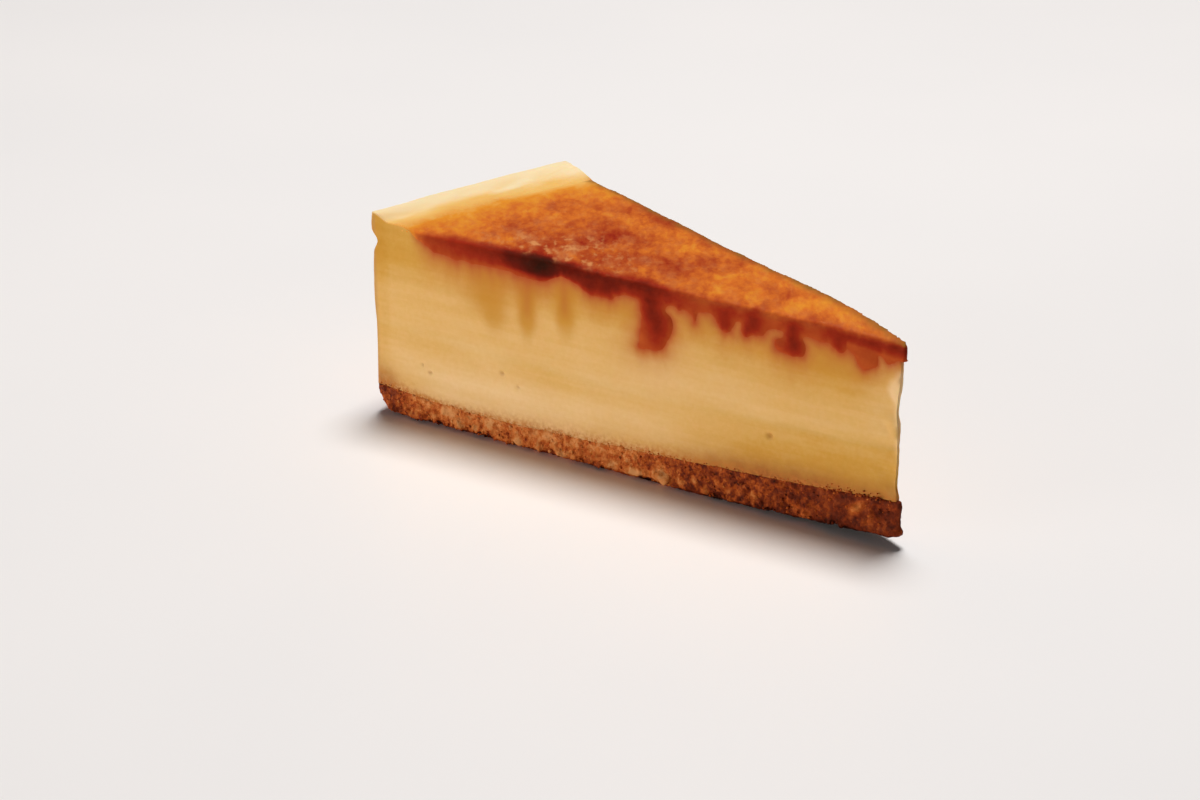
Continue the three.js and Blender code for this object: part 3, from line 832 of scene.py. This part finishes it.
def crumb_material(name):
    """Baked biscuit crumbs: grains of two sizes, each of its own tint, with painted shade in the cracks
    between them.
    """
    s = Shader(bpy.data.materials.new(name))
    ragged = s.ragged(0.5, 1.6)
    tint = s.math("ADD", s.cell_shades(1.3, ragged, 0, 0.1), s.cell_shades(0.6, ragged, 1, 0.1))
    streaks = s.spread(s.noise(1.3, vector=s.stretched((1, 1, 1.6))), 0.32, 0.68, -0.13, 0.13)
    tint = s.math("MULTIPLY", s.math("ADD", tint, streaks), s.attribute("speckled"))
    tint = s.math("ADD", tint, s.varied(5, 0.37, 0.55))
    colour = s.ramp(s.math("ADD", tint, s.attribute("tint"), True), CRUMB_STOPS)
    # Painted shade in the cracks between the grains
    gap_shade = s.spread(s.cells(1.3, ragged), 0.6, 0.95, 0, 0.25)
    colour = s.blend(gap_shade, colour, srgb(92, 32, 10))
    normal = s.bump(s.noise(0.5, 4, 0.65), 0.2, 0.9)
    roughness = s.varied(1, 0.6, 0.85, detail=2, roughness=0.55)
    return s.finish(colour, roughness, normal, Specular_IOR_Level=0.2, Specular_Tint=(1, 0.75, 0.5, 1))


# Pieces

def pores(points):
    """Each open bubble's radius, with how many radii points are from its centre, and inward from the cut."""
    along, inward = at_cut(points, -1)
    for centre, level, radius in PORES:
        yield radius, np.hypot((along - centre) / PORE_STRETCH, points[:, 2] - level) / radius, inward


def cut_stains(points, side):
    """What the caramel and its syrup have stained on a cut: stain, fringe, soaked, syrup and ember."""
    along, inward = at_cut(points, side)
    reach = np.maximum(caramel_reach(along, points[:, 2], side), 0)
    close = np.exp(-np.maximum(inward, 0) / 0.8) * step(along, RADIUS - 9, RADIUS - 14)
    fresh = close * (1 - 0.75 * step(along, 16, 6))
    stain_width = 0.8 + 0.5 * step(along, 16, 10) + 0.6 * hump(along, 102, 11) + 0.7 * hump(along, 87, 7)
    fringe_width = 2.2 + 1.4 * hump(along, 96, 14)
    stain = close * np.exp(-reach / stain_width)
    fringe = 0.85 * fresh * np.exp(-reach / fringe_width)
    return stain, fringe, fresh * np.exp(-reach / 4), *syrup_runs(points, side)


def filling_masks(mesh, points, topside):
    """Attributes that the filling's material reads, worked out from where each vertex lies."""
    stain, fringe, soaked, syrup, ember = np.maximum(cut_stains(points, -1), cut_stains(points, 1))
    mask(mesh, stain=stain, fringe=fringe, soaked=soaked, syrup=syrup, ember=ember)
    # Where the open bubbles get their painted shade
    pitted = np.max([(inward < 1.2) * step(near, 0.95, 0.4) for _, near, inward in pores(points)], axis=0)
    r = polar(points)[0]
    ahead = POINT_X - points[:, 0]
    above = np.maximum(points[:, 2] - crust_top(ahead), 0)
    by_point = step(ahead, 62, 30) * (0.9 - 0.32 * step(ahead, 20, 10)) * np.exp(-((above / 3.1) ** 1.6))
    by_corner = step(ahead, 117, 124) * (0.9 + 0.35 * rough(points, 1.2, 2, 47))
    smear = 1.7 + 1.3 * step(ahead, 112, 126) - 0.7 * hump(ahead, 108, 12)
    burn = top_burn(points)
    mask(
        mesh,
        pitted=0.5 * pitted,
        browned=by_point + by_corner * np.exp(-((above / 3.6) ** 1.6)),
        crumbed=0.78 * np.exp(-((above / smear) ** 1.3)),
        skin=0.6 * step(r, RADIUS - 1.2, RADIUS - 0.4) * (1 - topside),
        tone=filling_tone(points),
        topside=topside,
        burn=burn,
        mottled=step(burn, 0.08, 0.4),
    )


def wall_form(outward, r, z):
    """Distances from the point, with the wall's groove and swell in the outermost of them."""
    return r + outward**WALL_FORM_FADE * through(WALL_PROFILE, z)


def side_wobble(points):
    """The cuts and the wall swell and sink a little, more so at the crumbling point."""
    r = polar(points)[0]
    near_point = step(r, 7, 2)
    off_join = step(np.abs(points[:, 2] - filling_join(r)), 0, 2)
    return off_join * (0.1 * rough(points, 9, 3, 61) + 0.3 * near_point * rough(points, 2.6, 2, 64))


def uneven_sides(mesh, points):
    """The filling with its uneven cuts and wall, a little hollow at the point below the caramel."""
    normals = read_normals(mesh) * (1, 1, 0)
    lengths = np.linalg.norm(normals, axis=1, keepdims=True)
    normals = normals / np.maximum(lengths, 0.01) * (lengths > 0.4)
    moved = points + normals * side_wobble(points)[:, None]
    moved[:, 0] -= POINT_HOLLOW * step(polar(points)[0], 10, 2) * hump(points[:, 2], 29, 7)
    return moved


def cheesecake_piece(material):
    outward, angle, upward, faces = block(*CHEESECAKE_GRID)
    r = POINT_BLUNT + (RADIUS - POINT_BLUNT) * outward
    low = crust_top(r * np.cos(angle)) - 0.2
    z = low + (filling_join(r) - low) * upward
    points = wedge(wall_form(outward, r, z), angle, z)
    mesh = make_mesh("cheesecake", points, faces)
    points = uneven_sides(mesh, points)
    for radius, near, inward in pores(points):
        points[:, 1] += PORE_DEPTH * radius * np.sqrt(np.clip(1 - near**2, 0, 1)) * (inward < 0.5)
    write_points(mesh, points)
    mesh.set_sharp_from_angle(angle=math.radians(50))
    filling_masks(mesh, points, np.zeros(len(points)))
    piece("cheesecake_filling", mesh, material, "cheesecake_layer")


def custard_piece(material):
    outward, angle, upward, faces = block(*CUSTARD_GRID)
    r = RADIUS - (RADIUS - POINT_BLUNT) * (1 - outward) ** 1.15
    low = filling_join(r)
    surface = custard_surface(r, angle)
    bare = step(r, caramel_edge(angle) - 3.2, caramel_edge(angle) - 2.2)
    under = np.minimum(caramel_bottom(r, angle) + 0.8, surface - 0.6)
    high = under + (surface + far_shoulder(r, angle) - under) * bare
    z = low + (high - low) * upward
    points = wedge(wall_form(outward, r, z), angle, z)
    mesh = make_mesh("custard", points, faces)
    normals = read_normals(mesh)
    points = uneven_sides(mesh, points)
    top = step(normals[:, 2], 0.3, 0.8) * step(RADIUS - CARAMEL_FROM_RIM - 1 - r, 2, -2)
    points[:, 2] += top * 0.14 * rough(points, 4, 3, 63)
    write_points(mesh, points)
    mesh.set_sharp_from_angle(angle=math.radians(60))
    topside = step(read_normals(mesh)[:, 2], 0.3, 0.75) * (points[:, 2] > TOP_LEVEL - 4)
    filling_masks(mesh, points, topside)
    piece("custard_filling", mesh, material, "custard_layer")


def caramel_sheet():
    outward, angle, upward, faces = block(*SHEET_GRID)
    edge = caramel_edge(angle) + SHEET_PAST_EDGE
    r = SHEET_START + (edge - SHEET_START) * outward
    rise = SHEET_RISE * step(edge - r, 0.5, 6) - 0.5 * step(r, edge - 2.2, edge)
    top = custard_surface(r, angle) + far_shoulder(r, angle) + rise
    low = np.minimum(caramel_bottom(r, angle), top - SHEET_THINNEST)
    inward = r * np.sin(HALF_ANGLE + angle)
    rounded = SHEET_EDGE_DROP * np.clip(1 - inward / SHEET_EDGE_ROUND, 0, 1) ** 2
    lift = through(SHEET_FAR_LIFT, r) * step(angle / HALF_ANGLE, -0.2, 1)
    z = low + (top + lift - rounded - low) * upward
    return wedge(r, angle, z), faces


def cut_coat(side):
    """The caramel that shows on a cut: a skin that swells over the band and down each drip."""
    along = np.arange(0.8, RADIUS - 8, COAT_PITCH)
    depth = np.arange(0.3, COAT_DEPTH, COAT_PITCH)
    grid_along, grid_depth = (a.ravel() for a in np.meshgrid(along, depth[::-1], indexing="ij"))
    grid_z = custard_surface(grid_along, side * HALF_ANGLE) - grid_depth
    reach = caramel_reach(grid_along, grid_z, side)
    inside = (reach < COAT_MARGIN) & (grid_along < COAT_END)
    swell = COAT_SWELL * (1 + step(grid_depth, 3, 7)) * (1 - np.exp(np.minimum(reach, 0) / 0.9))
    swell = (swell - 0.6 * np.maximum(reach, 0)) * step(grid_depth, 0.2, 1.1)
    swell += side_wobble(from_cut(grid_along, 0 * swell, grid_z, side))
    front = from_cut(grid_along, swell, grid_z, side)
    back = from_cut(grid_along, swell - COAT_THICKNESS, grid_z, side)
    number = np.arange(len(grid_along)).reshape(len(along), len(depth))
    keep = inside.reshape(number.shape)
    whole = np.all(corners(keep), axis=0)
    quads = np.stack([corner[whole] for corner in corners(number)], 1)
    if side > 0:
        quads = quads[:, ::-1]
    behind = quads[:, ::-1] + len(front)
    edges = np.concatenate([quads[:, [k, (k + 1) % 4]] for k in range(4)]).tolist()
    seen = set(map(tuple, edges))
    rim = np.array([edge for edge in edges if (edge[1], edge[0]) not in seen])
    walls = np.stack([rim[:, 1], rim[:, 0], rim[:, 0] + len(front), rim[:, 1] + len(front)], 1)
    faces = np.concatenate([quads, behind, walls])
    used, renumbered = np.unique(faces, return_inverse=True)
    return np.concatenate([front, back])[used], renumbered.reshape(faces.shape)


def caramel_piece(material):
    shells = [caramel_sheet(), cut_coat(-1), cut_coat(1)]
    mesh = fused("caramel", shells, CARAMEL_VOXEL, CARAMEL_SOFTENING)
    points, normals = read_points(mesh), read_normals(mesh)
    up = step(normals[:, 2], 0.35, 0.85) * (points[:, 2] > TOP_LEVEL - 2.5)
    r, angle = polar(points)
    flat = points * (1, 1, 0)
    settled = step(caramel_edge(angle) - r, 2, 9)
    lumps = 0.5 - grains(flat + 0.6 * rough(flat, 3, 2, 71)[:, None], 2.6, 72)
    relief = settled * (0.12 * lumps + 0.14 * rough(flat, 5, 4, 73))
    points = points + normals * (up * relief)[:, None]
    write_points(mesh, points)
    burn = top_burn(points)
    sides = np.zeros(len(points))
    for side in (-1, 1):
        along, inward = at_cut(points, side)
        reach = caramel_reach(along, points[:, 2], side)
        below = np.maximum(custard_surface(along, side * HALF_ANGLE) + SHEET_RISE - points[:, 2], 0)
        depth = below - 0.38 * np.maximum(inward - 0.3, 0)
        wavy = rough(on_cut_sheet(along, 0 * along, side), 3, 2, 74)
        start = through(BAND_START[side], along) + 0.25 * wavy
        share = step(depth, start - 1.1, start + 0.8) * (inward < 6) * step(along, 117.5, 113.5)
        burn += (cut_burn(along, points[:, 2], side, reach) - burn) * share
        sides = np.maximum(sides, share)
    patch = hump(r, 83, 14) * hump(angle / HALF_ANGLE, -0.6, 0.45)
    by_far_cut = np.exp(-((at_cut(points, 1)[1] / 1.6) ** 2)) * (0.9 + 0.4 * rough(flat, 2.2, 2, 75))
    mask(
        mesh,
        burn=np.clip(burn, 0, 1),
        mottled=step(burn, 0.08, 0.4) * (1 - 0.7 * sides),
        dull=0.25 * sides,
        # Where the top gets its paler flecks, partly painted highlight
        blistered=np.clip(1.35 * patch + 0.15, 0, 1) * up * settled * (1 - sides),
        ochre=np.clip(by_far_cut, 0, 1) * step(normals[:, 2], 0.2, 0.7),
    )
    piece("caramel_sheet", mesh, material, "caramel_top")


def crust_shell():
    outward, angle, upward, faces = block(*CRUST_GRID)
    r = CRUST_START + (RADIUS - CRUST_START) * outward
    ahead = r * np.cos(angle)
    low = sole_lift(ahead)
    z = low + upward**1.5 * (crust_top(ahead) - low)
    points = wedge(r - corner_tuck(r, z), angle, z)
    mesh = make_mesh("crust_rough", points, faces)
    normals = read_normals(mesh) * (1, 1, 0)
    bpy.data.meshes.remove(mesh)
    bumps = 0.3 * (0.5 - grains(points, 1.6, 81)) + 0.3 * rough(points, 6, 3, 82)
    along, inward = at_cut(points, -1)
    for centre, level, half, depth in HOLLOWS:
        bumps -= depth * hump(along, centre, half) * hump(z, level, 1.3) * (inward < 0.2)
    points = points + normals * (point_spread(r) + bumps - sole_tuck(z - low))[:, None]
    points[:, 0] -= toe_tuck(r, z)
    return points, faces


def crust_side(along, share, which, inset=0.0):
    """Places on the crust's cuts, 0 near and 1 far, or its wall, 2, with the way out from each."""
    reach = np.clip(along, 0, RADIUS)
    around = HALF_ANGLE * (2 * reach / RADIUS - 1)
    angle = np.where(which == 2, around, np.where(which == 0, -HALF_ANGLE, HALF_ANGLE))
    r = np.where(which == 2, RADIUS, reach)
    ahead = r * np.cos(angle)
    low = sole_lift(ahead)
    z = low + share * (crust_top(ahead) - low)
    points = wedge(r - corner_tuck(r, z), angle, z)
    side = np.sign(angle)
    none = np.zeros_like(r)
    off_cut = np.stack([none + HALF_SIN, side * HALF_COS, none], 1)
    off_wall = np.stack([-np.cos(angle), np.sin(angle), none], 1)
    out = np.where((which == 2)[:, None], off_wall, off_cut)
    away = point_spread(r) * (which != 2) - sole_tuck(np.maximum(z - low, 0)) - inset
    points = points + out * away[:, None]
    points[:, 0] -= toe_tuck(r, z)
    return points, out


def side_spots(draw, count, low_share, high_share):
    """Places on the crust's cuts and wall, drawn at random."""
    lengths = np.array([RADIUS, RADIUS, 2 * HALF_ANGLE * RADIUS])
    which = draw.choice(3, count, p=lengths / lengths.sum())
    along = draw.uniform(2.5, RADIUS - 1, count)
    share = draw.uniform(low_share, high_share, count)
    return crust_side(along, share, which)


def crumb_cloud(draw, centres, sizes):
    """Uneven little crumbs, one at each centre."""
    phi = (1 + 5**0.5) / 2
    ball = [(-1, phi, 0), (1, phi, 0), (-1, -phi, 0), (1, -phi, 0), (0, -1, phi), (0, 1, phi)]
    ball += [(0, -1, -phi), (0, 1, -phi), (phi, 0, -1), (phi, 0, 1), (-phi, 0, -1), (-phi, 0, 1)]
    ball = np.array(ball) / np.linalg.norm(ball[0])
    faces = [(0, 11, 5), (0, 5, 1), (0, 1, 7), (0, 7, 10), (0, 10, 11), (1, 5, 9), (5, 11, 4), (11, 10, 2)]
    faces += [(10, 7, 6), (7, 1, 8), (3, 9, 4), (3, 4, 2), (3, 2, 6), (3, 6, 8), (3, 8, 9), (4, 9, 5)]
    faces += [(2, 4, 11), (6, 2, 10), (8, 6, 7), (9, 8, 1)]
    count = len(centres)
    jitter = draw.uniform(0.6, 1.3, (count, len(ball), 1))
    turns = np.linalg.qr(draw.normal(size=(count, 3, 3)))[0]
    turns[np.linalg.det(turns) < 0] *= -1
    squash = draw.uniform(0.5, 1.3, (count, 1, 3))
    shapes = (ball[None] * jitter * squash) @ turns
    points = centres[:, None] + shapes * sizes[:, None, None]
    numbers = np.array(faces)[None] + np.arange(count)[:, None, None] * len(ball)
    return points.reshape(-1, 3), numbers.reshape(-1, 3)


def crust_tint(points):
    """How light the crust is, with its pale clods, painted shade in its hollows and painted contact shade
    low down.
    """
    ahead = POINT_X - points[:, 0]
    z = points[:, 2]
    low = sole_lift(ahead)
    top = crust_top(ahead)
    # Painted contact shade at the sole and low down about 100 from the point, darker crumbs at the outer
    # corner, and pale close under the filling
    tint = through(CRUST_TINT, ahead) - 0.3 * step(z, low + 0.9, low)
    tint += 0.15 * step(z, top - 3, top - 1) * step(ahead, 44, 60) * step(ahead, 120, 112)
    tint -= 0.14 * (step(ahead, 114, 121) * step(z, 0.8, 2) + step(ahead, 98, 106) * step(z, 2.6, 1.2))
    along, inward = at_cut(points, -1)
    on_cut = inward < 2
    for centre, level, radius, lighter in CLODS:
        near = np.hypot(along - centre, z - level) / (1.15 * radius)
        tint += lighter * np.exp(-(near**4)) * on_cut
    # Painted shade in the hollows
    for centre, level, half, depth in HOLLOWS:
        tint -= 0.2 * depth * hump(along, centre, 0.8 * half) * hump(z, level, 1) * on_cut
    return tint


def crust_masks(mesh, tint, ahead):
    """Attributes that the crust's material reads: its grains differ less towards the point."""
    mask(mesh, tint=tint, speckled=1 - 0.45 * step(ahead, 34, 12))


def crust_piece(material):
    draw = np.random.default_rng(14)
    centres, out = side_spots(draw, CRUST_CRUMBS, 0.08, 0.97)
    sizes = draw.uniform(*CRUST_CRUMB_SIZES, CRUST_CRUMBS)
    centres = centres + out * draw.uniform(*CRUST_CRUMB_LIFTS, CRUST_CRUMBS)[:, None]
    clods = np.array(CLODS)
    ahead = clods[:, 0] * HALF_COS
    low = sole_lift(ahead)
    share = (clods[:, 1] - low) / (crust_top(ahead) - low)
    clod_centres, _ = crust_side(clods[:, 0], share, np.zeros(len(clods)), CLOD_INSET)
    centres = np.concatenate([centres, clod_centres])
    sizes = np.concatenate([sizes, CLOD_SIZE * clods[:, 2]])
    centres[:, 2] = np.maximum(centres[:, 2], sizes)
    shells = [crust_shell(), crumb_cloud(draw, centres, sizes)]
    mesh = fused("crust", shells, CRUST_VOXEL, CRUST_SOFTENING)
    points, normals = read_points(mesh), read_normals(mesh)
    side = step(np.abs(normals[:, 2]), 0.98, 0.8)
    points = points + normals * (side * 0.16 * (0.5 - grains(points, 0.8, 83)))[:, None]
    ahead = POINT_X - points[:, 0]
    stands = (points[:, 2] < 0.25) & (ahead > SOLE_LIFT_REACH)
    points[:, 2] = np.where(stands, 0, np.maximum(points[:, 2], 0))
    write_points(mesh, points)
    crust_masks(mesh, crust_tint(points), ahead)
    piece("crumb_crust", mesh, material, "crumb_base")


def loose_crumbs(material):
    """Fine crumbs that stick to the crust and to the filling just above it."""
    draw = np.random.default_rng(15)
    centres, sizes, tints = [], [], []
    for count, low_share, high_share, lifts, radii, lighter in CRUMB_KINDS:
        places, out = side_spots(draw, count, low_share, high_share)
        centres.append(places + out * draw.uniform(*lifts, count)[:, None])
        sizes.append(draw.uniform(*radii, count))
        tints.append(lighter + draw.uniform(-CRUMB_TINT_SPREAD, CRUMB_TINT_SPREAD, count))
    centres, sizes, tints = map(np.concatenate, (centres, sizes, tints))
    centres[:, 2] = np.maximum(centres[:, 2], sizes * 1.3)
    points, faces = crumb_cloud(draw, centres, sizes)
    mesh = make_mesh("loose_crumbs", points, faces)
    each = len(points) // len(centres)
    tint = np.repeat(crust_tint(centres) + tints, each)
    crust_masks(mesh, tint, np.repeat(POINT_X - centres[:, 0], each))
    piece("loose_crumbs", mesh, material)


# Stage

CAMERA_AZIMUTH = math.radians(45.64)
CAMERA_ELEVATION = math.radians(23.05)
CAMERA_DISTANCE = 598.6
CAMERA_ASIDE = -13.9
CAMERA_UP = 11.2
CAMERA_LENS = 85
SENSOR_WIDTH = 36
SKY_AT_HORIZON = 0.03
SKY_OVERHEAD = 0.08
SKY_COLOUR = (1, 0.99, 0.98, 1)
FLOOR_REACH = 3000

# Lights, in metres and watts: name, place, width, height, power
LIGHTS = [
    ("key", (-0.4, -1.27, 0.08), 1.0, 0.14, 9.7),
    ("back", (-0.2, 0.33, 1.46), 0.6, 0.6, 22.6),
]
LIGHTS_AIM = (0, 0, 0.02)


def make_camera():
    data = bpy.data.cameras.new("camera")
    data.lens = CAMERA_LENS
    data.sensor_width = SENSOR_WIDTH
    data.clip_start = 0.01
    camera = in_scene("camera", data)
    level = math.cos(CAMERA_ELEVATION)
    turn_cos = math.cos(CAMERA_AZIMUTH)
    turn_sin = math.sin(CAMERA_AZIMUTH)
    right = Vector((turn_cos, turn_sin, 0))
    back = Vector((turn_sin * level, -turn_cos * level, math.sin(CAMERA_ELEVATION)))
    up = back.cross(right)
    place = (right * CAMERA_ASIDE + up * CAMERA_UP + back * CAMERA_DISTANCE) * MM
    camera.matrix_world = Matrix.Translation(place) @ Matrix((right, up, back)).transposed().to_4x4()
    bpy.context.scene.camera = camera


def make_light(name, place, width, height, power):
    data = bpy.data.lights.new(name, "AREA")
    data.shape = "ELLIPSE"
    data.size = width
    data.size_y = height
    data.energy = power
    light = in_scene(name, data)
    light.location = place
    light.rotation_euler = (Vector(LIGHTS_AIM) - Vector(place)).to_track_quat("-Z", "Y").to_euler()


def make_stage():
    s = Shader(bpy.data.materials.new("pale_floor"))
    colour = s.blend(s.noise(120, 2, 0.55), srgb(246, 241, 238), srgb(240, 236, 234))
    material = s.finish(colour, 0.5, s.bump(s.noise(2, 2, 0.55), 0.01, 0.1))
    floor = FLOOR_REACH * np.array([(-1, -1, 0), (1, -1, 0), (1, 1, 0), (-1, 1, 0)], float)
    mesh = make_mesh("floor", floor, [(0, 1, 2, 3)])
    mesh.materials.append(material)
    in_scene("floor", mesh)
    world = bpy.data.worlds.new("studio")
    sky = Shader(world)
    height = sky.node("ShaderNodeSeparateXYZ", {0: sky.coordinates["Generated"]}).outputs["Z"]
    inputs = {"Value": height, "To Min": SKY_AT_HORIZON, "To Max": SKY_OVERHEAD}
    brightness = sky.node("ShaderNodeMapRange", inputs).outputs["Result"]
    sky.feed(sky.tree.nodes["Background"], {"Strength": brightness, "Color": SKY_COLOUR})
    bpy.context.scene.world = world
    for light in LIGHTS:
        make_light(*light)
    bpy.context.scene.view_settings.view_transform = "Standard"


make_camera()
make_stage()

cheesecake_piece(filling_material("baked_cheesecake"))
custard_piece(filling_material("set_custard"))
caramel_piece(caramel_material())
crumb = crumb_material("biscuit_crumb")
crust_piece(crumb)
loose_crumbs(crumb)
